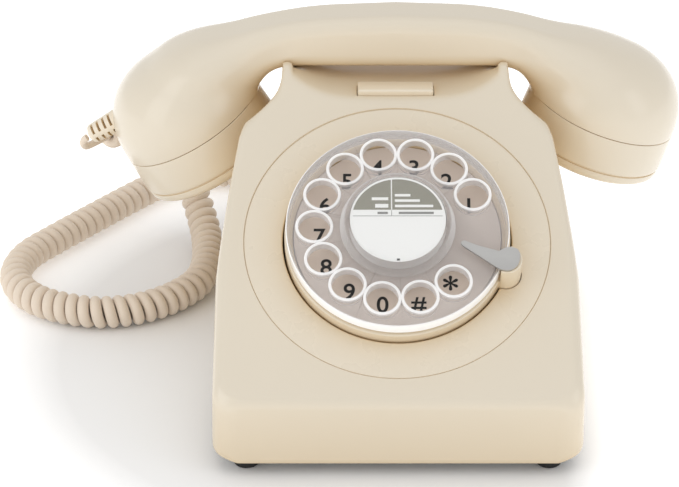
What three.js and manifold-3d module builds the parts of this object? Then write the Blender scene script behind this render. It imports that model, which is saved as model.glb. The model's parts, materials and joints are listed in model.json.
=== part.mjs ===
// A desk telephone with a rotary dial: wedge-shaped case with four cradle horns, a clear finger wheel,
// a handset on a sprung hook bar, a bell ringer inside, and a curly handset cord on the table.
// Millimetres. +Z is up, the front faces -Y, and the origin is the centre of the footprint on the table.
import * as THREE from "three";
import { mergeVertices } from "three/addons/utils/BufferGeometryUtils.js";
import Module from "manifold-3d";

const wasm = await Module();
wasm.setup();

// ---- driving dimensions ----
const gap = 0.3; // clearance between neighbouring pieces
const wall = 2.6; // case wall
const halfDepth = 105; // case, front to middle
const footHeight = 6; // the case's lower edge stands this high
const creaseHeight = 35.4; // where the front wall meets the slope
const slope = THREE.MathUtils.degToRad(33.5); // of the dial face, from horizontal
const hornHeight = 127.6; // tips of the four horns
const lipHeight = 117; // lowest line of the cradle between the horns
const hornY = 34.4; // front horn tips
const cradleY = 50; // middle of the handset's handle
const earRadius = 34; // ear cups of the handset
const dialAlong = 77.4; // dial centre, up the slope from the crease
const faceRadius = 65.6; // round panel about the dial
const ringRadius = 48.2; // moulded dial ring
const wheelRadius = 47.6; // clear finger wheel
const holeCircle = 35.4; // finger holes
const holeRadius = 6.85;
const holeCount = 12;
const holeStep = 26; // degrees from hole to hole
const firstHole = -65; // degrees from the top, counter-clockwise
const gearTeeth = 48;
const pinionTeeth = 12;
const gearModule = 1.1;
const cordRadius = 2.7; // the wire
const coilRadius = 7.5; // outside of the curled cord

// ---- materials ----
function material(color, roughness, metalness = 0) {
  return new THREE.MeshStandardMaterial({ color, roughness, metalness });
}
const ivory = material(0xe0d5c1, 0.3);
const ivoryRecess = material(0xd9ceb9, 0.35);
const cordPlastic = material(0xe6d8c8, 0.55);
const plateGrey = material(0xc7bdb4, 0.45);
const clear = material(0xe9e4e0, 0.08);
const card = material(0xf4f4f2, 0.7);
const steel = material(0xb6b3ae, 0.35, 0.9);
const brass = material(0xc9a45c, 0.3, 0.9);
const black = material(0x27282a, 0.7);
const board = material(0x3c6b45, 0.6);
const copper = material(0xa8603a, 0.4, 0.6);

// ---- solids, joins and cuts ----
function toSolid(geometry) {
  const bare = geometry.clone();
  bare.deleteAttribute("normal");
  bare.deleteAttribute("uv");
  const merged = mergeVertices(bare, 1e-4);
  const mesh = new wasm.Mesh({
    numProp: 3,
    vertProperties: new Float32Array(merged.attributes.position.array),
    triVerts: new Uint32Array(merged.index.array),
  });
  return new wasm.Manifold(mesh);
}

function toGeometry(solid) {
  const mesh = solid.getMesh();
  const points = new Float32Array(mesh.numVert * 3);
  for (let i = 0; i < mesh.numVert; i++) {
    const start = i * mesh.numProp;
    points.set(mesh.vertProperties.subarray(start, start + 3), i * 3);
  }
  const geometry = new THREE.BufferGeometry();
  geometry.setAttribute("position", new THREE.BufferAttribute(points, 3));
  geometry.setIndex(new THREE.BufferAttribute(new Uint32Array(mesh.triVerts), 1));
  geometry.computeVertexNormals();
  return geometry;
}

function join(first, ...others) {
  return toGeometry(others.reduce((sum, other) => sum.add(toSolid(other)), toSolid(first)));
}

function cut(body, ...tools) {
  return toGeometry(tools.reduce((rest, tool) => rest.subtract(toSolid(tool)), toSolid(body)));
}

function common(first, ...others) {
  return toGeometry(others.reduce((both, other) => both.intersect(toSolid(other)), toSolid(first)));
}

// ---- basic shapes ----
function outlineShape(points) {
  return new THREE.Shape(points.map(([x, y]) => new THREE.Vector2(x, y)));
}

function mirrored(half) {
  return [...half, ...half.map(([x, y]) => [-x, y]).reverse().filter(([x]) => x !== 0)];
}

// An outline moved inwards by a distance, corner by corner.
function inset(points, distance) {
  const area = points.reduce((sum, [x, y], i) => {
    const [u, v] = points[(i + 1) % points.length];
    return sum + x * v - u * y;
  }, 0);
  const side = area > 0 ? 1 : -1;
  return points.map(([x, y], i) => {
    const [px, py] = points[(i + points.length - 1) % points.length];
    const [nx, ny] = points[(i + 1) % points.length];
    const before = new THREE.Vector2(x - px, y - py).normalize();
    const after = new THREE.Vector2(nx - x, ny - y).normalize();
    const across = new THREE.Vector2(-before.y - after.y, before.x + after.x).normalize();
    const reach = (side * distance) / (across.x * -after.y + across.y * after.x);
    return [x + across.x * reach, y + across.y * reach];
  });
}

function extruded(points, depth) {
  return new THREE.ExtrudeGeometry(outlineShape(points), { depth, bevelEnabled: false });
}

// (y, z) outline along X, (x, z) outline along Y, (x, y) outline along Z.
function alongX(points, from, to) {
  return extruded(points, to - from).rotateX(Math.PI / 2).rotateZ(Math.PI / 2).translate(from, 0, 0);
}

function alongY(points, from, to) {
  return extruded(points, to - from).rotateX(Math.PI / 2).translate(0, to, 0);
}

function alongZ(points, from, to) {
  return extruded(points, to - from).translate(0, 0, from);
}

// A profile of [radius, height] turned about Z; it starts and ends on the axis or closes on itself.
function turned(profile, segments = 32) {
  const area = profile.reduce((sum, [r, h], i) => {
    const [u, v] = profile[(i + 1) % profile.length];
    return sum + r * v - u * h;
  }, 0);
  const ordered = area > 0 ? profile : [...profile].reverse();
  const points = ordered.map(([r, h]) => new THREE.Vector2(r, h));
  return new THREE.LatheGeometry(points, segments).rotateX(Math.PI / 2);
}

function disc(radius, from, to, segments = 32) {
  return turned([[0, from], [radius, from], [radius, to], [0, to]], segments);
}

function ring(inner, outer, from, to, segments = 32) {
  return turned([[inner, from], [outer, from], [outer, to], [inner, to], [inner, from]], segments);
}

function block(width, depth, from, to, x = 0, y = 0) {
  return new THREE.BoxGeometry(width, depth, to - from).translate(x, y, (from + to) / 2);
}

function tube(points, radius, sides, steps) {
  const path = new THREE.CatmullRomCurve3(points.map(([x, y, z]) => new THREE.Vector3(x, y, z)));
  const section = [];
  for (let i = 0; i < sides; i++) {
    const turn = (2 * Math.PI * i) / sides;
    section.push([radius * Math.cos(turn), radius * Math.sin(turn)]);
  }
  return new THREE.ExtrudeGeometry(outlineShape(section), { steps, extrudePath: path });
}

function piece(name, geometry, look) {
  const mesh = new THREE.Mesh(geometry, look);
  mesh.name = name;
  return mesh;
}

// ---- the case ----
const slopeRun = Math.cos(slope);
const slopeRise = Math.sin(slope);
const dialY = dialAlong * slopeRun - halfDepth;
const dialZ = creaseHeight + dialAlong * slopeRise;

// Side view, (y, z): front wall, slope, horn, shallow groove for the handle, horn and back.
const sideView = [
  [-halfDepth, footHeight],
  [-halfDepth, creaseHeight],
  [hornY - 0.8, hornHeight - 0.6],
  [hornY + 0.6, hornHeight - 0.2],
  [hornY + 1.4, hornHeight - 2.8],
  [cradleY - 10.4, hornHeight - 6.4],
  [cradleY + 10.4, hornHeight - 6.4],
  [2 * cradleY - hornY - 1.4, hornHeight - 2.8],
  [2 * cradleY - hornY - 0.6, hornHeight - 0.2],
  [2 * cradleY - hornY + 2, hornHeight - 1],
  [84, 117],
  [92, 103],
  [103, 40],
  [halfDepth, footHeight],
];

// The same view without the horns, for the hollow inside.
const lipY = (lipHeight - creaseHeight) / Math.tan(slope) - halfDepth;
const roofSide = [
  [-halfDepth, footHeight],
  [-halfDepth, creaseHeight],
  [lipY, lipHeight],
  [84, 117],
  [92, 103],
  [103, 40],
  [halfDepth, footHeight],
];

// Front view, right half, (x, z): side wall, shoulder, horn and the dip between the horns.
const frontView = mirrored([
  [78.4, footHeight],
  [78.2, 40],
  [77.6, 70],
  [76.9, 96],
  [73.2, 104.4],
  [68.5, 108.2],
  [63.8, 111.7],
  [54.6, 116.6],
  [51.6, 119.4],
  [50.6, 123],
  [50.3, 126.6],
  [48.6, 127.8],
  [46.9, 125.2],
  [39.8, 121.2],
  [33.2, 118.9],
  [22.2, 117.5],
  [0, lipHeight],
]);

// Plan view, right half, (x, y): rounded front corner, then the side drawing in towards the back.
const planView = mirrored([
  [68.4, -halfDepth],
  [73.4, -103.7],
  [77.1, -100],
  [78.4, -95],
  [78.2, -62],
  [76.7, -42],
  [73.1, -20.8],
  [68.6, 4.3],
  [65.5, 20],
  [63, 40],
  [61.5, 65],
  [60, 93],
  [56.5, 101.5],
  [48, halfDepth],
]);

// The hollow beside the cradle that each ear cup hangs in; it runs out through the back.
const hollowX = 90;
const hollowEdge = 50.3;
const hollowReach = 39.5;
const hollowFloor = 76;
const hollowSquareness = 3.2; // 2 would be a plain oval

function earHollow(side, grow) {
  const floor = hollowFloor - grow;
  const outline = [];
  for (let i = 0; i < 32; i++) {
    const turn = (2 * Math.PI * (i + 0.5)) / 32;
    const [c, s] = [Math.cos(turn), Math.sin(turn)];
    const reach = (Math.abs(c) ** hollowSquareness + Math.abs(s) ** hollowSquareness) ** (-1 / hollowSquareness);
    outline.push([
      side * hollowX + (hollowX - hollowEdge + grow) * reach * c,
      cradleY + (hollowReach + grow) * reach * s,
    ]);
  }
  const scoop = alongZ(outline, floor, 140);
  const channel = block(80, 80, floor, 140, side * (hollowEdge - grow + 40), cradleY + 40);
  return join(scoop, channel);
}

function caseBody(thickness) {
  const side = thickness ? inset(roofSide, thickness) : sideView;
  const roofFront = frontView.filter(([, z]) => z < 118);
  const front = thickness ? inset(roofFront, thickness) : frontView;
  const plan = thickness ? inset(planView, thickness) : planView;
  const below = thickness ? 10 : 0; // the inner form runs out through the open underside
  const lowered = (points) => points.map(([a, z]) => [a, z < footHeight + thickness + 1 ? z - below : z]);
  const body = common(
    alongX(lowered(side), -90, 90),
    alongY(lowered(front), -120, 120),
    alongZ(plan, -20, 150),
  );
  return cut(body, earHollow(-1, thickness), earHollow(1, thickness));
}

const tilt = (geometry) => geometry.rotateX(slope).translate(0, dialY, dialZ);
const jack = { x: 8, width: 14, height: 12, z: 20, mouthWidth: 9.6, mouthHeight: 6.6 };
const gland = { x: -40, z: 17, hole: 4.8 };
const bar = { width: 33.4, back: 31.6, front: 22, top: 119.6 };
const bosses = [
  { x: 50, y: -92 },
  { x: -50, y: -92 },
  { x: 34, y: 88 },
  { x: -34, y: 88 },
];
const stopBoss = { x: 45.8, y: -16.6, radius: 6.6, top: 14.2 };

function caseShell() {
  const outer = caseBody(0);
  const bossPosts = bosses.map(({ x, y }) => disc(4, 9.2, 120, 12).translate(x, y, 0));
  const shell = cut(outer, caseBody(wall));
  const posts = bossPosts.map((post) => common(post, outer));
  return cut(
    join(shell, ...posts),
    ...bosses.map(({ x, y }) => disc(1.8, 5, 24, 10).translate(x, y, 0)),
    tilt(disc(faceRadius, -14, 12, 48)),
    block(bar.width + 1, bar.back - bar.front + 1, 100, 125, 0, (bar.back + bar.front) / 2),
    block(jack.mouthWidth, 12, jack.z - jack.mouthHeight / 2, jack.z + jack.mouthHeight / 2, jack.x, halfDepth),
    disc(gland.hole, -10, 10, 20).rotateX(Math.PI / 2).translate(gland.x, halfDepth, gland.z),
  );
}

function basePlate() {
  return cut(
    alongZ(inset(planView, wall + 0.8), 6.6, 8.6),
    ...bosses.map(({ x, y }) => disc(2, 5, 10, 10).translate(x, y, 0)),
  );
}

const foot = turned([[0, 0], [4.6, 0], [5.3, 0.8], [5.3, 6.3], [0, 6.3]], 16);
const baseScrew = turned([[0, 4.4], [3.2, 4.4], [3.6, 5], [3.6, 6.3], [1.5, 6.3], [1.5, 20], [0, 20.6]], 10);

const body = new THREE.Group();
body.add(piece("case_shell", caseShell(), ivory));
body.add(piece("base_plate", basePlate(), steel));
const feet = { front_right: [64, -94], front_left: [-64, -94], rear_right: [48, 92], rear_left: [-48, 92] };
for (const [place, [x, y]] of Object.entries(feet)) {
  body.add(piece(`foot_${place}`, foot.clone().translate(x, y, 0), black));
}
bosses.forEach(({ x, y }, i) => {
  body.add(piece(`base_screw_${i + 1}`, baseScrew.clone().translate(x, y, 0), steel));
});

// ---- the dial, built about its own axis: +Z leaves the face, +Y runs up the slope ----
const plateTop = 3.7;
const wheelLow = 10.4;
const wheelHigh = 12.4;
const rimTop = 13.7;
const hubRadius = 24.7;
const labelRadius = 20.3;
const labelHeight = 18.6;

function surround() {
  const panel = turned(
    [[49, -14], [51, -14], [51, -5.4], [67.2, -5.4], [67.2, -3.3], [65.3, -3.3], [65.3, -0.25], [49, -0.25], [49, -14]],
    48,
  );
  const lobe = disc(stopBoss.radius + 0.4, -20, 5, 24).translate(stopBoss.x, stopBoss.y, 0);
  return cut(panel, lobe);
}

function dialRing() {
  const body = turned(
    [[44.6, -12], [ringRadius, -12], [ringRadius, 4.1], [47.6, 4.6], [46.4, 4.6], [44.6, 3.2], [44.6, -12]],
    48,
  );
  const post = disc(stopBoss.radius, -6, stopBoss.top, 24).translate(stopBoss.x, stopBoss.y, 0);
  const sweep = disc(ringRadius + 0.6, 4.6, 30, 48);
  const bore = disc(45, -20, 30, 48);
  return join(body, cut(post, sweep, bore));
}

function holes(radius, from, to, segments) {
  return Array.from({ length: holeCount }, (_, i) => {
    const turn = THREE.MathUtils.degToRad(firstHole + i * holeStep);
    return disc(radius, from, to, segments)
      .translate(-holeCircle * Math.sin(turn), holeCircle * Math.cos(turn), 0);
  });
}

function fingerWheel() {
  const plate = turned(
    [[3.4, wheelLow], [46.4, wheelLow], [46.4, 6.4], [wheelRadius, 6.4],
      [wheelRadius, wheelHigh], [3.4, wheelHigh], [3.4, wheelLow]],
    48,
  );
  const rims = holes(holeRadius + 1.3, wheelLow - 1.2, rimTop, 12);
  return cut(join(plate, ...rims), ...holes(holeRadius, 0, 20, 12));
}

function labelHolder() {
  return turned(
    [[labelRadius + 0.4, wheelHigh + gap], [hubRadius, wheelHigh + gap], [hubRadius - 1, 16],
      [labelRadius + 2, 19.4], [labelRadius + 0.4, 19.6], [labelRadius + 0.4, wheelHigh + gap]],
    32,
  );
}

function toothedWheel(teeth, bore, from, to) {
  const pitch = (gearModule * teeth) / 2;
  const step = (2 * Math.PI) / teeth;
  const points = [];
  for (let i = 0; i < teeth; i++) {
    for (const [radius, share] of [[pitch - 1.2, -0.22], [pitch + 0.8, -0.1], [pitch + 0.8, 0.1], [pitch - 1.2, 0.22]]) {
      const turn = (i + share) * step;
      points.push([radius * Math.cos(turn), radius * Math.sin(turn)]);
    }
  }
  return cut(alongZ(points, from, to), disc(bore, from - 1, to + 1, 20));
}

const gearPitch = (gearModule * gearTeeth) / 2;
const pinionPitch = (gearModule * pinionTeeth) / 2;
const pinionAt = gearPitch + pinionPitch + 0.35;
const pinionTurn = Math.PI / pinionTeeth;

const dial = new THREE.Group();
dial.position.set(0, dialY, dialZ);
dial.rotation.x = slope;
dial.add(piece("dial_surround", surround(), ivoryRecess));
dial.add(piece("dial_ring", dialRing(), ivory));
dial.add(piece("number_plate", ring(4, 44.2, plateTop - 1.5, plateTop), plateGrey));
const backPlate = cut(
  ring(4, 46, -16, -14.4),
  disc(1.6, -20, 0, 12).translate(pinionAt, 0, 0),
);
dial.add(piece("dial_back_plate", backPlate, steel));
dial.add(piece("finger_wheel", fingerWheel(), clear));
dial.add(piece("label_holder", labelHolder(), clear));
dial.add(piece("label_card", disc(labelRadius, labelHeight - 0.4, labelHeight), card));
dial.add(piece("label_cover", disc(labelRadius, labelHeight + gap, labelHeight + 0.8), clear));
const spindle = turned([[0, -24], [3.1, -24], [3.1, 14], [9, 14], [9, labelHeight - 0.8], [0, labelHeight - 0.8]], 16);
dial.add(piece("dial_spindle", spindle, steel));
dial.add(piece("dial_gear", toothedWheel(gearTeeth, 3.4, -20, -18), brass));
dial.add(piece("spring_barrel", ring(3.4, 13, -11, -4, 20), steel));
const pinion = toothedWheel(pinionTeeth, 1.1, -20.4, -17.6).rotateZ(pinionTurn).translate(pinionAt, 0, 0);
dial.add(piece("governor_pinion", pinion, brass));
dial.add(piece("governor_shaft", disc(0.9, -34, -10, 12).translate(pinionAt, 0, 0), steel));
const governorDrum = ring(1.2, 8, -31, -24, 20).translate(pinionAt, 0, 0);
dial.add(piece("governor_drum", governorDrum, brass));
dial.add(piece("pulse_contacts", block(16, 10, -14, -6, -24, -22), black));

// The finger stop: a flat pointer with a round heel over the ring's post, its tip over the holes.
function fingerStop() {
  const outline = new THREE.Shape();
  outline.moveTo(28.4, -8.5);
  outline.quadraticCurveTo(25.6, -8.8, 27.1, -10.9);
  outline.lineTo(41.1, -21.2);
  outline.quadraticCurveTo(46.5, -25, 50.2, -20.4);
  outline.quadraticCurveTo(52.6, -15.6, 50.4, -12.6);
  outline.quadraticCurveTo(46.6, -10.2, 42.6, -13.6);
  outline.lineTo(33.7, -10.9);
  outline.quadraticCurveTo(31, -9.8, 28.4, -8.5);
  return new THREE.ExtrudeGeometry(outline, { depth: 1.3, bevelEnabled: false, curveSegments: 6 })
    .translate(0, 0, stopBoss.top + gap);
}
dial.add(piece("finger_stop", fingerStop(), steel));
body.add(dial);

// ---- hook bar and switch ----
function hookBar() {
  const middle = (bar.front + bar.back) / 2;
  return join(
    block(bar.width, bar.back - bar.front, 108, bar.top, 0, middle),
    block(7, 5, 88, 109, 0, middle),
  );
}
const hookMiddle = (bar.front + bar.back) / 2;
body.add(piece("hook_bar", hookBar(), ivory));
body.add(piece("hook_switch", block(26, 14, 70, 87.4, 0, hookMiddle), black));
body.add(piece("switch_bracket", block(22, 3, 9, 69.6, 0, hookMiddle), steel));

// ---- ringer: two gongs, a clapper between them and its coil ----
const gongX = 29;
const gongY = 58;
const gongRadius = 24;
const clapperY = 37;
const gongProfile = [
  [2.4, 44], [12, 43], [20, 39], [gongRadius, 31], [gongRadius - 1.4, 31], [18.8, 37.8], [11.6, 41.4], [2.4, 42.4], [2.4, 44],
];
for (const [place, side] of [["left", -1], ["right", 1]]) {
  body.add(piece(`gong_${place}`, turned(gongProfile, 20).translate(side * gongX, gongY, 0), brass));
  const post = turned([[0, 9], [5, 9], [5, 11], [2, 13], [2, 46], [0, 46]], 16);
  body.add(piece(`gong_post_${place}`, post.translate(side * gongX, gongY, 0), steel));
}
body.add(piece("ringer_coil", disc(9, -14, 14, 24).rotateY(Math.PI / 2).translate(0, 8, 22), copper));
const clapper = join(
  block(3, gongY - clapperY, 33, 35, 0, (gongY + clapperY) / 2),
  disc(4, 32, 38, 16).translate(0, clapperY, 0),
  turned([[0, 31], [2.2, 31.8], [3, 34], [2.2, 36.2], [0, 37]], 16).translate(0, gongY, 0),
);
body.add(piece("clapper", cut(clapper, disc(1.6, 20, 50, 12).translate(0, clapperY, 0)), steel));
const clapperPost = join(disc(1.3, 12, 40, 12), disc(6, 9, 12.4, 16)).translate(0, clapperY, 0);
body.add(piece("clapper_post", clapperPost, steel));

// ---- electronics and sockets ----
body.add(piece("circuit_board", block(96, 56, 13, 14.6, 0, -52), board));
body.add(piece("line_jack", cut(
  block(jack.width, 16, jack.z - jack.height / 2, jack.z + jack.height / 2, jack.x, 92.6),
  block(jack.mouthWidth, 20, jack.z - jack.mouthHeight / 2, jack.z + jack.mouthHeight / 2, jack.x, 100),
), black));
const glandProfile = [
  [0, -6], [6.4, -6], [6.4, -4.4], [4.4, -4.4], [4.4, 0.6], [5.8, 0.6], [5.8, 2.4], [3.4, 15], [0, 15],
];
const glandPiece = turned(glandProfile, 20).rotateX(-Math.PI / 2).translate(gland.x, halfDepth, gland.z);
body.add(piece("cord_gland", glandPiece, cordPlastic));

// ---- the handset, resting on the horns ----
const ear = { x: 93.3, z: 98.8, lean: THREE.MathUtils.degToRad(19), dome: 30.5, power: 1.9 }; // +X end
const mouth = { x: -91.3, z: 92.3, lean: THREE.MathUtils.degToRad(-30), dome: 33, power: 2.1 }; // -X end

// Turned about the cup's own leaning axis, which leaves the caller's side downwards.
function placed(geometry, cup) {
  return geometry.rotateY(cup.lean).translate(cup.x, cradleY, cup.z);
}

function dome(cup, shrink) {
  const radius = earRadius - shrink;
  const height = cup.dome - shrink;
  const base = shrink > 0 ? -3 : gap;
  const profile = [[0, base], [radius, base]];
  for (const share of [0.2, 0.45, 0.68, 0.86, 0.96]) {
    profile.push([radius * (1 - share ** cup.power) ** (1 / cup.power), height * share]);
  }
  profile.push([0, height]);
  return turned(profile, 24);
}

function handle(shrink) {
  const top = [[0, 146], [38, 145.2], [64.5, 140.5], [86, 133.6], [100, 126]];
  const under = [[100, 112], [72, 96], [66, 104], [62, 111], [58, 117.6], [53, 121], [44, 122.3], [0, 122.5]];
  const outline = mirrored([...top, ...under]);
  const shape = outlineShape(shrink ? inset(outline, shrink + 4) : inset(outline, 4));
  const depth = 26 - 8 - 2 * shrink;
  const bevel = { bevelThickness: 4, bevelSize: 4, bevelSegments: 2 };
  return new THREE.ExtrudeGeometry(shape, { depth, bevelEnabled: true, ...bevel })
    .rotateX(Math.PI / 2)
    .translate(0, cradleY + depth / 2, 0);
}

function handsetBody() {
  const outer = join(handle(0), placed(dome(ear, 0), ear), placed(dome(mouth, 0), mouth));
  const capRoom = [ear, mouth].map((cup) => placed(disc(60, -60, gap / 2, 12), cup));
  const hollow = join(handle(wall), placed(dome(ear, wall), ear), placed(dome(mouth, wall), mouth));
  return cut(outer, ...capRoom, hollow);
}

const capProfile = [
  [0, -22.8], [30.2, -22.8], [32.4, -21.6], [34.2, -18.4], [34.5, -15], [earRadius, 0],
  [31.4, 0], [31.4, -17], [0, -17],
];
const handset = new THREE.Group();
handset.add(piece("handset_body", handsetBody(), ivory));
handset.add(piece("earpiece_cap", placed(turned(capProfile, 32), ear), ivory));
handset.add(piece("mouthpiece_cap", placed(turned(capProfile, 32), mouth), ivory));
const receiver = [[0, -16.4], [27, -16.4], [27, -9], [18, -4], [0, -4]];
handset.add(piece("receiver_capsule", placed(turned(receiver, 20), ear), steel));
const microphone = [[0, -16.4], [24, -16.4], [24, -10], [0, -10]];
handset.add(piece("microphone_capsule", placed(turned(microphone, 20), mouth), black));

// The strain relief leaves the mouthpiece end outwards and a little down.
const bootTip = new THREE.Vector3(-138.2, cradleY, 83.4);
const bootRoot = new THREE.Vector3(-119, cradleY, 94);
function cordBoot() {
  const length = bootRoot.distanceTo(bootTip);
  const cone = turned([[0, 0], [5.6, 0], [5.6, 6], [3, length], [0, length]], 20);
  const aim = new THREE.Quaternion().setFromUnitVectors(
    new THREE.Vector3(0, 0, 1),
    bootTip.clone().sub(bootRoot).normalize(),
  );
  cone.applyQuaternion(aim).translate(bootRoot.x, bootRoot.y, bootRoot.z);
  return cut(cone, placed(dome(mouth, 0).scale(1.012, 1.012, 1.012), mouth));
}
handset.add(piece("cord_boot", cordBoot(), cordPlastic));
body.add(handset);

// ---- the handset cord: a short lead at each end and the curled length between them ----
const bootLead = [[-139, 50, 82.9], [-140.2, 50.2, 82], [-141, 51, 79.6], [-139.6, 53.4, 77], [-133.8, 60, 77]];
const coilRoute = [
  [-132, 62.2, 77.4], [-127.5, 73, 75.6], [-122, 86, 69.5], [-116, 99, 60.5], [-109.5, 109, 49.5], [-102.5, 114, 38],
  [-96, 113.5, 26.5], [-91.5, 106.5, 15.8], [-88, 92, 9], [-87, 71, 7.6], [-90, 53, 7.6], [-98, 40, 7.6],
  [-110, 29.6, 7.6], [-124, 23.6, 7.6], [-140, 23, 7.6], [-160, 31, 7.6], [-172, 44, 7.6], [-176, 60, 7.6],
  [-172, 77, 7.6], [-161, 93, 7.6], [-144, 115, 7.6], [-124, 140, 7.6], [-110, 155, 7.6], [-93, 164, 7.6],
  [-75, 164.6, 7.6], [-59, 157, 7.6], [-48.6, 144.6, 7.8],
];
const glandLead = [[-48.2, 143.6, 8], [-45, 138.6, 8.8], [-42, 132, 12.4], [-40, 125, 16.4], [-40, 120.6, 17]];
body.add(piece("cord_lead_handset", tube(bootLead, cordRadius, 8, 8), cordPlastic));
body.add(piece("cord_coil", tube(coilRoute, coilRadius - 0.1, 8, 64), cordPlastic));
body.add(piece("cord_lead_base", tube(glandLead, cordRadius, 8, 7), cordPlastic));

export default body;
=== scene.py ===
# A desk telephone with a rotary dial: moulded ivory case and handset, a clear finger wheel over a printed
# plate, and a curly handset cord lying on the table. Sizes below are in millimetres; meshes are in metres.
import json
import math

import bmesh
import bpy
import numpy as np
from mathutils import Matrix, Vector


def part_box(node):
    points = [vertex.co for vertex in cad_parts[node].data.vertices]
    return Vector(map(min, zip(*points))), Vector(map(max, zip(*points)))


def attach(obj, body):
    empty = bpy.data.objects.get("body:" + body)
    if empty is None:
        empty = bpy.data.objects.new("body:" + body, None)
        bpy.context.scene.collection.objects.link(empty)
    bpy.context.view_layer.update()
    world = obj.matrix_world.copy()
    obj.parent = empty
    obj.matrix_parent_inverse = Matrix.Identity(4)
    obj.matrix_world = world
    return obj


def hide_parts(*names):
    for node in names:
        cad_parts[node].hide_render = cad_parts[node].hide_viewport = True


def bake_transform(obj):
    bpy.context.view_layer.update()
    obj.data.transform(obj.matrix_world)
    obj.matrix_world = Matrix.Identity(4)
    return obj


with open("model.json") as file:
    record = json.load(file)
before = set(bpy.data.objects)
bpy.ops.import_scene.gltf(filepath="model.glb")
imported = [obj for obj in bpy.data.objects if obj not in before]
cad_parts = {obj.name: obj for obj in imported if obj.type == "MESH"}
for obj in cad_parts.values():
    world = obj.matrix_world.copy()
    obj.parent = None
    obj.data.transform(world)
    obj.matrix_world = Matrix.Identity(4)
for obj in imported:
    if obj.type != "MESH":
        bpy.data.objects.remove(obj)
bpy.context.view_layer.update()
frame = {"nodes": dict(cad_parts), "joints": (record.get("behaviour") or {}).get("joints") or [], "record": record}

MM = 0.001

# ---- sizes taken from the frame ----


def box_mm(node):
    """A node's lowest and highest corners."""
    low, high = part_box(node)
    return low / MM, high / MM


def joint(name):
    return next(j for j in frame["joints"] if j["name"] == name)


case_low, case_high = box_mm("case_shell")
half_width = case_high.x
half_depth = case_high.y
base_height = case_low.z
dial_joint = joint("dial_turn")
dial_centre = Vector(dial_joint["pos_m"]) / MM
slope = math.atan2(dial_joint["axis"][1], -dial_joint["axis"][2])
cradle_y = sum(v.y for v in box_mm("handset_body")) / 2
bar_low, bar_high = box_mm("hook_bar")
jack_low, jack_high = box_mm("line_jack")
gland_low, gland_high = box_mm("cord_gland")

# ---- sizes of the moulding ----
roof_height = 117.0  # the saddle between the horns
horn_height = 127.6
horn_front = 33.8
horn_back = 2 * cradle_y - horn_front
horn_groove = 121.2
wall = 2.6
face_radius = 65.6  # round panel about the dial
ring_radius = 48.2
wheel_radius = 47.6
plate_top = 3.7
plate_radius = 44.2
wheel_low = 10.4
wheel_high = 12.4
rim_top = 13.7
hub_radius = 24.7
label_radius = 20.3
label_height = 18.6
ink_depth = 0.03
hole_circle = 35.4
hole_radius = 6.85
hole_count = 12
hole_step = 26.0  # degrees
first_hole = -65.0  # degrees from the top, counter-clockwise
stop_boss = Vector((45.8, -16.6))
stop_boss_radius = 6.6
stop_boss_top = 14.2
ear_radius = 34.0
cord_radius = 2.7
lead_radius = 1.7  # where it leaves the boot
coil_radius = 7.5


dial_place = Matrix.Translation(dial_centre) @ Matrix.Rotation(slope, 4, "X")


# ---- camera ----
camera_place = Vector((-24.66, -1182.86, 684.01))
camera_tilt = 62  # degrees up from straight down


def make_camera():
    data = bpy.data.cameras.new("camera")
    data.lens = 160.3
    data.sensor_width = 36
    data.clip_start = 0.05
    data.clip_end = 30
    camera = bpy.data.objects.new("camera", data)
    camera.location = camera_place * MM
    camera.rotation_euler = (math.radians(camera_tilt), 0, 0)
    bpy.context.scene.collection.objects.link(camera)
    bpy.context.scene.camera = camera


make_camera()


# ---- node trees ----
class Wire:
    """A node's output; arithmetic on it adds Math nodes."""

    def __init__(self, tree, socket):
        self.tree = tree
        self.socket = socket

    def math(self, operation, *others):
        return self.tree.add("ShaderNodeMath", {"operation": operation}, self, *others)

    def __add__(self, other):
        return self.math("ADD", other)

    def __sub__(self, other):
        return self.math("SUBTRACT", other)

    def __mul__(self, other):
        return self.math("MULTIPLY", other)

    def __pow__(self, other):
        return self.math("POWER", other)

    def __rsub__(self, other):
        return self.tree.add("ShaderNodeMath", {"operation": "SUBTRACT"}, other, self)

    __radd__ = __add__
    __rmul__ = __mul__


class Tree:
    """Adds nodes to a shader or geometry tree."""

    def __init__(self, tree):
        self.tree = tree

    def add(self, kind, settings=None, *values, out=0, **named):
        """A node with its settings, then values or wires for its sockets, in order or by name."""
        node = self.tree.nodes.new(kind)
        for key, value in (settings or {}).items():
            setattr(node, key, value)
        for socket, value in zip(node.inputs, values):
            self.feed(socket, value)
        for name, value in named.items():
            self.feed(node.inputs[name], value)
        return Wire(self, node.outputs[out])

    def feed(self, socket, value):
        if isinstance(value, Wire):
            self.tree.links.new(value.socket, socket)
        else:
            socket.default_value = value

    def mix(self, share, first, second):
        """A colour between two, by a share from 0 to 1."""
        node = self.tree.nodes.new("ShaderNodeMix")
        node.data_type = "RGBA"
        self.feed(node.inputs[0], share)
        self.feed(node.inputs[6], first)
        self.feed(node.inputs[7], second)
        return Wire(self, node.outputs[2])

    def rise(self, value, low, high):
        """0 up to one value, 1 from another, and even between them."""
        return self.add("ShaderNodeMapRange", {}, value, low, high, 0.0, 1.0)


def linear(red, green, blue):
    """A colour given as 0 to 255 display values."""

    def one(value):
        value /= 255
        return value / 12.92 if value <= 0.04045 else ((value + 0.055) / 1.055) ** 2.4

    return (one(red), one(green), one(blue), 1.0)


def shade(colour, factor):
    return tuple(min(1.0, c * factor) for c in colour[:3]) + (1.0,)


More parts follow.
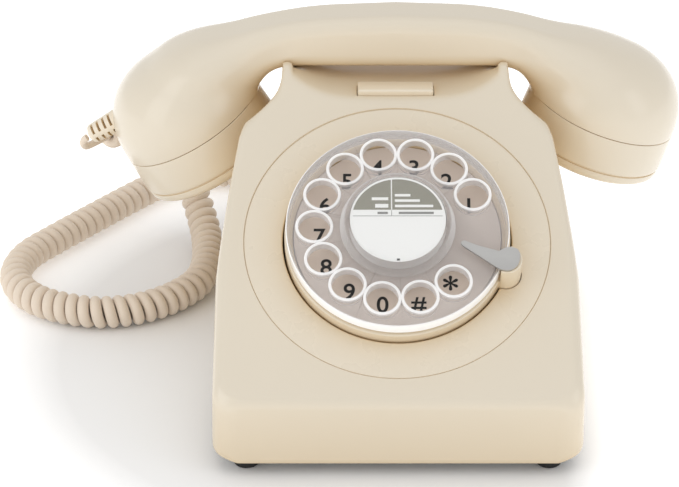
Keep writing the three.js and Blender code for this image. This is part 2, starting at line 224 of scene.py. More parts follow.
def surface(name, colour, roughness, normal=None, extra=None):
    """A Principled surface; what varies over it is a function of the tree and its object coordinates."""
    look = bpy.data.materials.new(name)
    look.use_nodes = True
    look.node_tree.nodes.clear()
    tree = Tree(look.node_tree)
    place = tree.add("ShaderNodeTexCoord", out="Object")
    bsdf = look.node_tree.nodes.new("ShaderNodeBsdfPrincipled")
    if normal:
        tree.feed(bsdf.inputs["Normal"], normal(tree, place))
    for key, value in {"Base Color": colour, "Roughness": roughness, **(extra or {})}.items():
        tree.feed(bsdf.inputs[key], value(tree, place) if callable(value) else value)
    output = look.node_tree.nodes.new("ShaderNodeOutputMaterial")
    look.node_tree.links.new(bsdf.outputs[0], output.inputs[0])
    return look


def noise(tree, place, scale, detail):
    return tree.add("ShaderNodeTexNoise", {}, Vector=place, Scale=scale, Detail=detail)


def grain(scale, depth, strength=0.2):
    """A fine moulded grain."""

    def normal(tree, place):
        height = noise(tree, place, scale, 3.0)
        return tree.add("ShaderNodeBump", {}, Strength=strength, Distance=depth * MM, Height=height)

    return normal


def clouded(colour, spread, scale=14.0):
    """One colour with slow, faint clouds in it."""

    def made(tree, place):
        cloud = noise(tree, place, scale, 3.0)
        return tree.mix(cloud, shade(colour, 1 - spread), shade(colour, 1 + spread))

    return made


def painted_warm_shade_in_hollows(colour):
    """A clouded colour with painted warm shade: it is mixed towards a warm tint where other faces are near,
    standing in for the light between ivory faces.
    """

    def made(tree, place):
        fresh = clouded(colour, 0.012)(tree, place)
        painted_shade_share = tree.add("ShaderNodeAmbientOcclusion", {"samples": 8}, Distance=painted_shade_reach, out="AO")
        return tree.mix(painted_shade_share, painted_shade_tint, fresh)

    return made


def polished(middle, spread):
    """A roughness that wanders a little about its middle value."""

    def made(tree, place):
        return noise(tree, place, 60.0, 4.0) * (2 * spread) + (middle - spread)

    return made


# Every moulded ivory finish carries the painted warm shade in its hollows.
def moulded(name, colour, roughness):
    return surface(
        name,
        painted_warm_shade_in_hollows(colour),
        polished(roughness, 0.05),
        grain(900.0, 0.05, 0.12),
        {"IOR": 1.5, "Coat Weight": 0.15, "Coat Roughness": 0.06},
    )


def plain_finish(name, colour, clouds, gloss, pores):
    """An opaque finish: clouds are (spread, scale), gloss is (middle, spread), pores are a grain's sizes."""
    return surface(name, clouded(colour, *clouds), polished(*gloss), grain(*pores))


def brushed_metal(name, colour, roughness):
    def finish(tree, place):
        stretched = tree.add("ShaderNodeMapping", {}, Vector=place, Scale=(1.0, 40.0, 1.0))
        return noise(tree, stretched, 60.0, 4.0) * 0.2 + (roughness - 0.1)

    return surface(name, clouded(colour, 0.04, 40.0), finish, grain(2500.0, 0.03, 0.2), {"Metallic": 1.0})


def painted_rim_highlights(tree, place):
    """The share of painted highlight: 1 on the tops of the finger rims and round the wheel's outer edge, 0
    elsewhere.
    """
    axis = (0.0, -math.sin(slope), math.cos(slope))
    offset = tree.add("ShaderNodeVectorMath", {"operation": "SUBTRACT"}, place, tuple(dial_centre * MM))
    height = tree.add("ShaderNodeVectorMath", {"operation": "DOT_PRODUCT"}, offset, axis, out="Value")
    length = tree.add("ShaderNodeVectorMath", {"operation": "LENGTH"}, offset, out="Value")
    radius = (length * length - height * height) ** 0.5
    tops = tree.rise(height, (rim_top - 0.45) * MM, (rim_top - 0.1) * MM)
    edge = tree.rise(radius, (wheel_radius - 0.7) * MM, (wheel_radius - 0.3) * MM)
    return tops.math("MAXIMUM", edge)


def clear_plastic(name, face, cover, gather, painted_highlight=None):
    """A see-through plastic with a painted reflection at its edges: clearer faced square, painted whiter seen edge
    on.
    Its cover is how dense it is faced square, and the last argument gives the share of it that is painted white as
    a highlight at any angle."""

    def shares(tree, place):
        facing = tree.add("ShaderNodeLayerWeight", {}, Blend=0.5, out="Facing")
        return facing, painted_highlight(tree, place) if painted_highlight else 0.0

    def colour(tree, place):
        facing, painted_shine = shares(tree, place)
        return tree.mix(facing.math("MAXIMUM", painted_shine), face, painted_edge_white)

    def density(tree, place):
        facing, painted_shine = shares(tree, place)
        return facing**gather * 0.8 + cover + painted_shine * 0.5

    return surface(name, colour, polished(0.07, 0.03), None, {"IOR": 1.46, "Alpha": density})


def thin_film(name, colour, cover):
    """A sheet so thin that it only adds a gloss to what lies under it."""

    def finish(tree, place):
        return noise(tree, place, 200.0, 3.0) * 0.04 + 0.05

    return surface(name, clouded(colour, 0.01), finish, None, {"Alpha": cover, "IOR": 1.46})


ivory_colour = linear(213, 203, 185)
# painted shade: the warm tint that the ivory is mixed towards where faces are near each other
painted_shade_tint = linear(222, 197, 156)
painted_shade_reach = 0.06  # metres within which near faces bring on the painted warm shade
cord_colour = linear(221, 206, 188)
# painted highlight: the white that the clear plastics' colour is mixed towards edge on and on the wheel's rim tops
painted_edge_white = linear(255, 255, 255)
ivory = moulded("moulded_ivory", ivory_colour, 0.24)
# painted light: a copy of the ivory 3% lighter, lifting the dial surround panel out of the dial's shade
recess_ivory_painted_lighter = moulded("moulded_ivory_recess_painted_lighter", shade(ivory_colour, 1.03), 0.28)
# painted light: a copy of the ivory 12% lighter, lifting the hook bar out of the shade under the handset; the cord
# boot shares it
ivory_painted_lighter = moulded("moulded_ivory_painted_lighter", shade(ivory_colour, 1.12), 0.26)
cord_vinyl = surface(
    "cord_vinyl",
    clouded(cord_colour, 0.03, 90.0),
    polished(0.5, 0.08),
    grain(2200.0, 0.05, 0.25),
    {"IOR": 1.48, "Sheen Weight": 0.15},
)
plate_paint = plain_finish(
    "satin_number_plate", linear(219, 203, 189), (0.015, 30.0), (0.42, 0.06), (3000.0, 0.02)
)
digit_ink = plain_finish("black_dial_ink", linear(16, 15, 15), (0.1, 200.0), (0.5, 0.1), (3000.0, 0.02))
card_stock = plain_finish("white_card", linear(231, 231, 229), (0.01, 60.0), (0.7, 0.08), (2600.0, 0.04, 0.3))
card_green = plain_finish(
    "grey_green_card_ink", linear(124, 121, 105), (0.03, 120.0), (0.65, 0.08), (2600.0, 0.04)
)
card_grey = plain_finish("grey_card_ink", linear(116, 117, 113), (0.03, 120.0), (0.65, 0.08), (2600.0, 0.04))
acrylic = clear_plastic("clear_acrylic", linear(206, 200, 196), 0.1, 1.9)
# the wheel's rim tops and outer edge carry a painted white highlight
wheel_acrylic = clear_plastic("milky_wheel_acrylic", linear(204, 199, 199), 0.2, 1.5, painted_rim_highlights)
label_film = thin_film("label_film", linear(250, 250, 250), 0.06)
stop_metal = brushed_metal("satin_stop_metal", linear(182, 181, 179), 0.45)
steel = brushed_metal("plated_steel", linear(190, 189, 186), 0.32)
brass = brushed_metal("spun_brass", linear(214, 178, 112), 0.26)
copper = brushed_metal("enamelled_copper_wire", linear(180, 104, 66), 0.35)
black_rubber = plain_finish(
    "black_rubber", linear(36, 36, 35), (0.12, 90.0), (0.75, 0.08), (1600.0, 0.1, 0.4)
)
black_plastic = plain_finish("black_plastic", linear(30, 30, 32), (0.1, 90.0), (0.4, 0.08), (1600.0, 0.05))
circuit_lacquer = plain_finish(
    "green_circuit_lacquer", linear(46, 96, 58), (0.12, 120.0), (0.35, 0.1), (1200.0, 0.1)
)
slot_looks = {
    "ivory_plastic": ivory,
    "recess_plastic": recess_ivory_painted_lighter,
    "cord_plastic": cord_vinyl,
    "plate_plastic": plate_paint,
    "clear_plastic": acrylic,
    "card": card_stock,
    "steel": steel,
    "brass": brass,
    "black_plastic": black_plastic,
    "rubber": black_rubber,
    "circuit_green": circuit_lacquer,
    "copper": copper,
}


# ---- meshes ----
def make_object(name, mesh, look):
    thing = bpy.data.objects.new(name, mesh)
    bpy.context.scene.collection.objects.link(thing)
    if look:
        mesh.materials.append(look)
    return thing


def make_mesh(name, points, faces, look, place=None):
    """A closed mesh from points in millimetres, merged, with its faces turned outwards."""
    mesh = bpy.data.meshes.new(name)
    mesh.from_pydata([tuple(p) for p in points], [], [tuple(f) for f in faces])
    work = bmesh.new()
    work.from_mesh(mesh)
    bmesh.ops.remove_doubles(work, verts=work.verts, dist=1e-4)
    bmesh.ops.recalc_face_normals(work, faces=work.faces)
    if place:
        bmesh.ops.transform(work, matrix=place, verts=work.verts)
    bmesh.ops.scale(work, vec=(MM, MM, MM), verts=work.verts)
    work.to_mesh(mesh)
    work.free()
    return make_object(name, mesh, look)


def plain(thing):
    """Puts the result of an object's modifiers in its mesh."""
    bpy.context.view_layer.update()
    graph = bpy.context.evaluated_depsgraph_get()
    mesh = bpy.data.meshes.new_from_object(thing.evaluated_get(graph))
    thing.modifiers.clear()
    thing.data = mesh
    return thing


def soften(thing, degrees=38):
    """Smooth shading with sharp edges kept where faces meet at more than an angle."""
    thing.data.shade_smooth()
    thing.data.set_sharp_from_angle(angle=math.radians(degrees))
    return thing


def combine(thing, others, operation):
    """Joins or cuts a mesh with others, which are used up."""
    for other in others:
        step = thing.modifiers.new("step", "BOOLEAN")
        step.operation = operation
        step.solver = "MANIFOLD"
        step.object = other
    plain(thing)
    for other in others:
        bpy.data.objects.remove(other)
    return thing


def settle(thing, body, slot, *nodes):
    """Puts a finished piece on its body, in the place of its CAD nodes."""
    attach(thing, body)
    if nodes:
        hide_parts(*nodes)
    return thing


def rounded(points, steps=6):
    """An outline whose points may carry a third value, how far from the corner its round starts."""
    made = []
    count = len(points)
    for i, point in enumerate(points):
        here = Vector(point[:2])
        cut = point[2] if len(point) > 2 else 0
        if not cut:
            made.append(tuple(here))
            continue
        before = Vector(points[i - 1][:2]) - here
        after = Vector(points[(i + 1) % count][:2]) - here
        start = here + before * min(cut / before.length, 0.5)
        end = here + after * min(cut / after.length, 0.5)
        for k in range(steps + 1):
            t = k / steps
            made.append(tuple(start * (1 - t) ** 2 + here * (2 * t * (1 - t)) + end * t**2))
    return [p for p, q in zip(made, made[1:] + made[:1]) if math.dist(p, q) > 1e-4 or p is made[-1]]


def lathe(profile, segments):
    """A profile of (radius, height) turned about Z; it ends on the axis or closes on itself."""
    closed = profile[0] == profile[-1]
    rows = profile[:-1] if closed else profile
    points, rings, faces = [], [], []
    for radius, height in rows:
        if radius < 1e-6:
            rings.append([len(points)] * segments)
            points.append((0, 0, height))
            continue
        rings.append(range(len(points), len(points) + segments))
        for i in range(segments):
            turn = 2 * math.pi * i / segments
            points.append((radius * math.cos(turn), radius * math.sin(turn), height))
    following = rings[1:] + ([rings[0]] if closed else [])
    for low, high in zip(rings, following):
        for i in range(segments):
            j = (i + 1) % segments
            face = list(dict.fromkeys((low[i], low[j], high[j], high[i])))
            if len(face) > 2:
                faces.append(face)
    return points, faces


def prism(outline, low, high):
    """An outline in X and Y, filled between two heights."""
    count = len(outline)
    points = [(x, y, low) for x, y in outline] + [(x, y, high) for x, y in outline]
    faces = [list(range(count)), list(range(count, 2 * count))]
    faces += [[i, (i + 1) % count, count + (i + 1) % count, count + i] for i in range(count)]
    return points, faces


def circle(radius, segments, x=0.0, y=0.0):
    turns = [2 * math.pi * i / segments for i in range(segments)]
    return [(x + radius * math.cos(t), y + radius * math.sin(t)) for t in turns]


def block(low, high):
    (x0, y0, z0), (x1, y1, z1) = low, high
    return prism([(x0, y0), (x1, y0), (x1, y1), (x0, y1)], z0, z1)


def bevelled(thing, width, segments):
    bevel = thing.modifiers.new("edge", "BEVEL")
    bevel.width = width * MM
    bevel.segments = segments
    bevel.limit_method = "ANGLE"
    bevel.angle_limit = math.radians(35)
    return plain(thing)


# ---- pieces that repeat ----
def set_out_tree():
    """Copies of a piece set round an axis by a step of turn, and along it by a step of rise."""
    group = bpy.data.node_groups.new("set_out", "GeometryNodeTree")
    for name, kind in (
        ("Piece", "Object"), ("Count", "Int"), ("Radius", "Float"), ("First Turn", "Float"),
        ("Turn Step", "Float"), ("Rise", "Float"), ("Look", "Material"),
    ):
        group.interface.new_socket(name, in_out="INPUT", socket_type="NodeSocket" + kind)
    group.interface.new_socket("Geometry", in_out="OUTPUT", socket_type="NodeSocketGeometry")
    tree = Tree(group)
    entry = group.nodes.new("NodeGroupInput")
    given = {socket.name: Wire(tree, socket) for socket in entry.outputs if socket.name}
    index = tree.add("GeometryNodeInputIndex")
    turn = index * given["Turn Step"] + given["First Turn"]
    across = turn.math("COSINE") * given["Radius"]
    along_y = turn.math("SINE") * given["Radius"]
    spot = tree.add("ShaderNodeCombineXYZ", {}, across, along_y, index * given["Rise"])
    spin = tree.add("ShaderNodeCombineXYZ", {}, 0.0, 0.0, turn)
    row = tree.add("GeometryNodeMeshLine", {}, Count=given["Count"])
    row = tree.add("GeometryNodeSetPosition", {}, Geometry=row, Position=spot)
    piece = tree.add("GeometryNodeObjectInfo", {}, given["Piece"], out="Geometry")
    copies = tree.add("GeometryNodeInstanceOnPoints", {}, Points=row, Instance=piece, Rotation=spin)
    solid = tree.add("GeometryNodeRealizeInstances", {}, Geometry=copies)
    painted = tree.add("GeometryNodeSetMaterial", {}, Geometry=solid, Material=given["Look"])
    exit_node = group.nodes.new("NodeGroupOutput")
    tree.feed(exit_node.inputs["Geometry"], painted)
    return group


set_out_group = set_out_tree()


def set_out(name, piece, look, count, place, radius=0.0, first=0.0, step=0.0, rise=0.0):
    """One mesh of copies of a piece, which is used up; sizes in millimetres and turns in degrees."""
    holder = make_object(name, bpy.data.meshes.new(name), None)
    modifier = holder.modifiers.new("set_out", "NODES")
    modifier.node_group = set_out_group
    values = {
        "Piece": piece,
        "Count": count,
        "Radius": radius * MM,
        "First Turn": math.radians(first),
        "Turn Step": math.radians(step),
        "Rise": rise * MM,
        "Look": look,
    }
    for socket in set_out_group.interface.items_tree:
        if socket.in_out == "INPUT":
            modifier[socket.identifier] = values[socket.name]
    plain(holder)
    bpy.data.objects.remove(piece)
    holder.data.transform(Matrix.Scale(MM, 4) @ place @ Matrix.Scale(1 / MM, 4))
    return holder


# ---- rounded solids from distances ----
def outline_distance(outline, u, v):
    """Distance from points (u, v) to a closed outline, negative inside."""
    start = np.array(outline)
    edge = np.roll(start, -1, axis=0) - start
    du = u[..., None] - start[:, 0]
    dv = v[..., None] - start[:, 1]
    share = np.clip((du * edge[:, 0] + dv * edge[:, 1]) / (edge**2).sum(axis=1), 0, 1)
    away = np.sqrt(((du - edge[:, 0] * share) ** 2 + (dv - edge[:, 1] * share) ** 2).min(axis=-1))
    below = start[:, 1] <= v[..., None]
    crosses = below != (np.roll(start, -1, axis=0)[:, 1] <= v[..., None])
    run = np.where(edge[:, 1] == 0, 1, edge[:, 1])
    inside = (crosses & (du < dv * edge[:, 0] / run)).sum(axis=-1) % 2 == 1
    return np.where(inside, -away, away)


def meet(a, b, radius):
    """The part inside both forms, with a round of this radius where they meet."""
    round_part = np.hypot(np.maximum(a + radius, 0), np.maximum(b + radius, 0))
    return np.minimum(np.maximum(a, b), -radius) + round_part


def blend_forms(a, b, width):
    """Both forms together, flowing into each other over a width."""
    share = np.clip(0.5 + 0.5 * (b - a) / width, 0, 1)
    return b * (1 - share) + a * share - width * share * (1 - share)


def ramp(value, low, high):
    share = np.clip((value - low) / (high - low), 0, 1)
    return share * share * (3 - 2 * share)


def surface_net(form, low, high, step):
    """Points and four-sided faces on the zero surface of form(x, y, z), moved exactly onto it."""
    axes = [np.arange(a, b + step, step) for a, b in zip(low, high)]
    field = form(axes[0][:, None, None], axes[1][None, :, None], axes[2][None, None, :])
    inside = field < 0
    cells = tuple(n - 1 for n in field.shape)
    total = np.zeros(cells + (3,))
    count = np.zeros(cells)
    for axis in range(3):
        first = [slice(None)] * 3
        second = [slice(None)] * 3
        first[axis] = slice(0, -1)
        second[axis] = slice(1, None)
        near, far = field[tuple(first)], field[tuple(second)]
        crosses = (near < 0) != (far < 0)
        share = np.where(crosses, near / np.where(crosses, near - far, 1), 0)
        others = [a for a in range(3) if a != axis]
        for corner in ((0, 0), (0, 1), (1, 0), (1, 1)):
            window = [slice(None)] * 3
            for other, offset in zip(others, corner):
                window[other] = slice(offset, offset + cells[other])
            part, hit = share[tuple(window)], crosses[tuple(window)]
            count += hit
            total[..., axis] += part * hit
            for other, offset in zip(others, corner):
                total[..., other] += offset * hit
    used = count > 0
    index = -np.ones(cells, int)
    index[used] = np.arange(used.sum())
    places = np.argwhere(used) + total[used] / count[used][:, None]
    points = np.array(low) + places * step
    faces = []
    for axis in range(3):
        b, c = (axis + 1) % 3, (axis + 2) % 3
        window = [slice(1, n) for n in cells]
        window[axis] = slice(0, cells[axis])
        shifted = list(window)
        shifted[axis] = slice(1, cells[axis] + 1)
        flips = inside[tuple(window)] != inside[tuple(shifted)]
        spots = np.argwhere(flips)
        starts = spots + np.array([w.start for w in window])
        corners = []
        for db, dc in ((0, 0), (1, 0), (1, 1), (0, 1)):
            moved = starts.copy()
            moved[:, b] -= db
            moved[:, c] -= dc
            corners.append(index[moved[:, 0], moved[:, 1], moved[:, 2]])
        quads = np.stack(corners, axis=1)
        turned = inside[tuple(window)][flips]
        faces.append(np.where(turned[:, None], quads, quads[:, ::-1]))
    reach = 0.2
    for _ in range(4):  # steps down the slope of the form, each no longer than half a cell
        x, y, z = points.T
        value = form(x, y, z)
        slopes = np.stack(
            [
                form(x + reach, y, z) - form(x - reach, y, z),
                form(x, y + reach, z) - form(x, y - reach, z),
                form(x, y, z + reach) - form(x, y, z - reach),
            ],
            axis=1,
        ) / (2 * reach)
        size = np.maximum((slopes**2).sum(axis=1), 0.2)
        move = slopes * (value / size)[:, None]
        points = points - np.clip(move, -0.5 * step, 0.5 * step)
    return points, np.concatenate(faces).tolist()


# ---- the cord ----
# A short lead leaves the boot, the curled length hangs to the table and lies there in one loose loop round
# to the back, and a short lead enters the gland. The route repeats the design's points.
boot_lead = [(-139, 50, 82.9), (-140.2, 50.2, 82), (-141, 51, 79.6), (-139.6, 53.4, 77), (-133.8, 60, 77)]
coil_route = [
    (-132, 62.2, 77.4), (-127.5, 73, 75.6), (-122, 86, 69.5), (-116, 99, 60.5), (-109.5, 109, 49.5),
    (-102.5, 114, 38), (-96, 113.5, 26.5), (-91.5, 106.5, 15.8), (-88, 92, 9), (-87, 71, 7.6), (-90, 53, 7.6),
    (-98, 40, 7.6), (-110, 29.6, 7.6), (-124, 23.6, 7.6), (-140, 23, 7.6), (-160, 31, 7.6), (-172, 44, 7.6),
    (-176, 60, 7.6), (-172, 77, 7.6), (-161, 93, 7.6), (-144, 115, 7.6), (-124, 140, 7.6), (-110, 155, 7.6),
    (-93, 164, 7.6), (-75, 164.6, 7.6), (-59, 157, 7.6), (-48.6, 144.6, 7.8),
]
gland_lead = [(-48.2, 143.6, 8), (-45, 138.6, 8.8), (-42, 132, 12.4), (-40, 125, 16.4), (-40, 120.6, 17)]
coil_turns = 84
opening_turns = 1.2  # over which the helix opens and closes
points_per_turn = 26
route_spacing = 1.2


def smooth_curve(points, spacing):
    """Points at an even spacing on a curve through the given ones."""
    given = np.array([points[0]] + list(points) + [points[-1]], float)
    made = []
    for i in range(1, len(given) - 2):
        a, b, c, d = given[i - 1 : i + 3]
        first, second, third = c - a, 2 * a - 5 * b + 4 * c - d, 3 * b - a - 3 * c + d
        for t in np.linspace(0, 1, 24, endpoint=False):
            made.append(0.5 * (2 * b + first * t + second * t**2 + third * t**3))
    made.append(given[-1])
    made = np.array(made)
    lengths = np.concatenate([[0], np.cumsum(np.linalg.norm(np.diff(made, axis=0), axis=1))])
    wanted = np.linspace(0, lengths[-1], max(2, int(lengths[-1] / spacing) + 1))
    return np.stack([np.interp(wanted, lengths, made[:, k]) for k in range(3)], axis=1)


def along(points):
    """Directions along a path, and two across it that don't twist."""
    forward = np.gradient(points, axis=0)
    forward /= np.linalg.norm(forward, axis=1)[:, None]
    side = np.cross(forward[0], (0, 0, 1.0))
    sides = []
    for step in forward:
        side = side - step * (side @ step)
        side /= np.linalg.norm(side)
        sides.append(side)
    sides = np.array(sides)
    return forward, sides, np.cross(forward, sides)


def curled(points, radius, turns):
    """A helix about a path that opens from it at one end and closes to it at the other."""
    count = int(turns * points_per_turn) + 1
    length = np.linalg.norm(np.diff(points, axis=0), axis=1).sum()
    fine = smooth_curve(points, length / (count - 1) * 0.9999)
    _, side, up = along(fine)
    share = np.linspace(0, 1, len(fine))
    ends = opening_turns / turns
    opening = np.minimum(ramp(share, 0, ends), ramp(1 - share, 0, ends))[:, None]
    turn = (2 * math.pi * turns * share)[:, None]
    return fine + radius * opening * (side * np.cos(turn) + up * np.sin(turn))


def tube(points, radius, sides=12):
    """A closed tube round a path, with one radius for each point of it."""
    _, side, up = along(points)
    radius = radius[:, None]
    turns = [2 * math.pi * i / sides for i in range(sides)]
    rows = [points + radius * (side * math.cos(t) + up * math.sin(t)) for t in turns]
    made = np.stack(rows, axis=1).reshape(-1, 3)
    count = len(points)
    faces = []
    for i in range(count - 1):
        for k in range(sides):
            j = (k + 1) % sides
            faces.append([i * sides + k, i * sides + j, (i + 1) * sides + j, (i + 1) * sides + k])
    faces.append(list(range(sides)))
    faces.append(list(range((count - 1) * sides, count * sides)))
    return made, faces


def make_cord():
    lead = smooth_curve(boot_lead, route_spacing)
    coil = curled(smooth_curve(coil_route, route_spacing), coil_radius - cord_radius, coil_turns)
    tail = smooth_curve(gland_lead, route_spacing)
    path = np.concatenate([lead, coil, tail])
    spread = ramp(np.arange(len(path)), len(lead), len(lead) + points_per_turn)
    points, faces = tube(path, lead_radius + (cord_radius - lead_radius) * spread)
    cord = make_mesh("curly_cord", points, faces, cord_vinyl)
    return soften(cord), path


cord, cord_path = make_cord()


# ---- the case ----
def half_outline(points):
    """An outline of one half, run on past the middle plane so that the distance ignores that side."""
    return [(-30.0, points[0][1])] + points + [(-30.0, points[-1][1])]


def slope_height(y):
    return dial_centre.z + (y - dial_centre.y) * math.tan(slope)


beyond = half_depth + 10
roof_back = [(84, roof_height, 7), (92.5, 103, 10), (103, 40, 20), (half_depth, base_height)]
side_outline = rounded(
    [
        (-beyond, base_height),
        (-beyond, slope_height(-beyond)),
        (horn_front, horn_height, 1.1),
        (horn_front + 2.6, horn_height - 0.1, 1.2),
        (horn_front + 5.6, horn_height - 5.2, 2),
        (cradle_y - 8, horn_groove, 3),
        (cradle_y + 8, horn_groove, 3),
        (horn_back - 5.6, horn_height - 5.2, 2),
        (horn_back - 2.6, horn_height - 0.1, 1.2),
        (horn_back, horn_height, 1.1),
    ]
    + roof_back
)
lip_y = dial_centre.y + (roof_height - dial_centre.z) / math.tan(slope)
side_hollow = (
    [(-beyond, -20), (-beyond, slope_height(-beyond)), (lip_y, roof_height)]
    + [corner[:2] for corner in roof_back[:-1]]
    + [(half_depth, -20)]
)
horn_inner = 50.4
shoulder_fall = 0.656
shoulder_corner = 119.4
dip = [(x, roof_height + 10.5 * (x / horn_inner) ** 3.8) for x in np.linspace(45, 0, 14)]
front_outline = rounded(
    half_outline(
        [
            (beyond, base_height - 5),
            (beyond, shoulder_corner - shoulder_fall * (beyond - horn_inner)),
            (horn_inner, shoulder_corner, 4),
            (horn_inner, horn_height + 0.6, 0.9),
            (46, horn_height, 0.9),
        ]
        + dip
    )
)
front_hollow = half_outline(
    [
        (beyond, -20),
        (beyond, shoulder_corner - shoulder_fall * (beyond - horn_inner)),
        (54, roof_height),
        (0, roof_height),
    ]
)
plan_outline = rounded(
    half_outline(
        [
            (half_width, -half_depth, 11),
            (half_width, -56, 20),
            (73.1, -20.8, 14),
            (65.4, 21, 16),
            (61.8, 58, 16),
            (59.6, beyond),
        ]
    )
)
side_draft = 0.0167
hollow_x = 90.0
hollow_reach = 39.5
hollow_floor = 76.0
hollow_squareness = 3.2  # 2 would be a plain oval
hollow_stretch = 1.005  # wider than deep
hollow_edge = 2.6
hollow_floor_round = 9.0
ridge_round = 2.0  # at most, where the dial face and the roof meet


def edge_round(y, z):
    """The round of the walls' upper edges: tighter towards the horns, wider at the top of the back."""
    at_horns = ramp(z, 104, 117)
    return 5.0 - 2.4 * ramp(z, 60, 105) - at_horns + 4.0 * ramp(y, 70, 95) * (1 - at_horns)


def sharpened(edge, width, y, z):
    """That round outside, less at the crease of the front wall and at the lowest edge."""
    crease = 2.8 * (1 - ramp(width, 64, 75)) * (1 - ramp(y, -90, -60))
    low = 1 - ramp(z, base_height, base_height + 9)
    foot_edge = 4.2 * (1 - ramp(width, 60, 76)) * low
    return np.maximum(edge - crease - foot_edge, 0.6)


def end_hollow(width, y, z):
    """The hollow beside each horn for an end of the handset; it runs out through the back."""
    across = np.abs(width - hollow_x) / hollow_stretch
    forward = np.abs(np.minimum(y - cradle_y, 0))
    power = hollow_squareness
    squarish = (across**power + forward**power) ** (1 / power) - hollow_reach
    return meet(squarish, hollow_floor - z, hollow_floor_round)


def case_form(x, y, z, inner=False):
    """The case inside its side, front and plan outlines; inner leaves out the horns and the sharper edges."""
    width = np.abs(x)
    side = outline_distance(side_hollow if inner else side_outline, *np.broadcast_arrays(y, z))
    front = outline_distance(front_hollow if inner else front_outline, *np.broadcast_arrays(width, z))
    plan = outline_distance(plan_outline, *np.broadcast_arrays(width, y))
    walls = np.maximum(plan, width - half_width + side_draft * (z - base_height))
    edge = edge_round(y, z)
    if not inner:
        edge = sharpened(edge, width, y, z)
    form = meet(meet(side, front, np.minimum(edge, ridge_round)), walls, edge)
    return meet(form, -end_hollow(width, y, z), hollow_edge)


def inner_form(x, y, z):
    """The room inside the case, open below."""
    return np.maximum(case_form(x, y, z, True) + wall, -10 - z)


def gland_place():
    """The gland's axis, pointing back out of the case."""
    middle = (gland_low + gland_high) / 2
    return Matrix.Translation((middle.x, half_depth, middle.z)) @ Matrix.Rotation(-math.pi / 2, 4, "X")


def make_case():
    """The moulding, hollowed, with openings for the dial, the hook bar, the line socket and the cord."""
    reach = Vector((half_width + 3, half_depth + 3))
    points, faces = surface_net(case_form, (-reach.x, -reach.y, 2.6), (reach.x, reach.y, 131), 1.3)
    case = make_mesh("case", points, faces, ivory)
    points, faces = surface_net(inner_form, (-reach.x, -reach.y, -14), (reach.x, reach.y, 120), 4.0)
    inner = make_mesh("inner", points, faces, None)
    deep, above = -16, 2
    chamfer = [(face_radius, -0.25), (face_radius + 0.25, 0.0), (face_radius + 0.4, above)]
    opening_profile = [(0, deep), (face_radius, deep)] + chamfer + [(0, above)]
    opening = make_mesh("opening", *lathe(opening_profile, 192), None, dial_place)
    clearance = 0.35
    slot_low = (bar_low.x - clearance, bar_low.y - clearance, 100)
    slot_high = (bar_high.x + clearance, bar_high.y + clearance, 130)
    slot = make_mesh("slot", *block(slot_low, slot_high), None)
    jack_middle = (jack_low + jack_high) / 2
    mouth_half, through = Vector((4.8, 20, 3.3)), Vector((0, 20, 0))
    socket = make_mesh("socket", *block(jack_middle - mouth_half, jack_middle + mouth_half + through), None)
    hole_round = circle(4.8, 48)
    gland_hole = make_mesh("gland_hole", *prism(hole_round, -12, 12), None, gland_place())
    combine(case, [inner, opening, slot, socket, gland_hole], "DIFFERENCE")
    soften(case, 42)
    settle(case, "case", "ivory_plastic", "case_shell")


make_case()


# ---- the dial ----
def dial_piece(name, points, faces, look):
    """A piece made about the dial's axis and put in its place on the slope."""
    return make_mesh(name, points, faces, look, dial_place)


def make_surround():
    inner, outer, top = 49, face_radius - 0.08, -0.1
    skirt_low, flange_low, flange_top = -14, -5.4, -3.3
    flange_radius = 67.2
    panel = rounded(
        [
            (inner, skirt_low),
            (inner + 2, skirt_low),
            (inner + 2, flange_low),
            (flange_radius, flange_low),
            (flange_radius, flange_top),
            (outer, flange_top),
            (outer, top, 0.3),
            (inner, top, 0.8),
        ]
    )
    surround = dial_piece("dial_surround_panel", *lathe(panel + [panel[0]], 192), recess_ivory_painted_lighter)
    lobe = prism(circle(stop_boss_radius + 0.4, 64, *stop_boss), -20, 5)
    combine(surround, [dial_piece("lobe", *lobe, None)], "DIFFERENCE")
    soften(surround, 35)
    settle(surround, "case", "recess_plastic", "dial_surround")


def make_dial_ring():
    profile = rounded(
        [(44.6, -12), (ring_radius, -12), (ring_radius, 4.6, 0.9), (46.2, 4.9, 0.8), (44.6, 3.2, 0.6)]
    )
    ring = dial_piece("dial_ring_moulding", *lathe(profile + [profile[0]], 192), ivory)
    top = stop_boss_top
    outer = rounded([(0, -6), (stop_boss_radius, -6), (stop_boss_radius, top, 0.8), (0, top)])
    points, faces = lathe(outer, 64)
    post = dial_piece("post", [(x + stop_boss.x, y + stop_boss.y, z) for x, y, z in points], faces, None)
    sweep = dial_piece("sweep", *prism(circle(ring_radius + 0.6, 192), 4.6, 30), None)
    bore = dial_piece("bore", *prism(circle(45, 192), -20, 30), None)
    combine(post, [sweep, bore], "DIFFERENCE")
    combine(ring, [post], "UNION")
    soften(ring, 35)
    settle(ring, "case", "ivory_plastic", "dial_ring")


def make_number_plate():
    bore = 4
    low = plate_top - 1.5
    profile = rounded([(bore, low), (plate_radius, low), (plate_radius, plate_top, 0.3), (bore, plate_top)])
    plate = dial_piece("printed_number_plate", *lathe(profile + [profile[0]], 128), plate_paint)
    settle(soften(plate), "case", "plate_plastic", "number_plate")


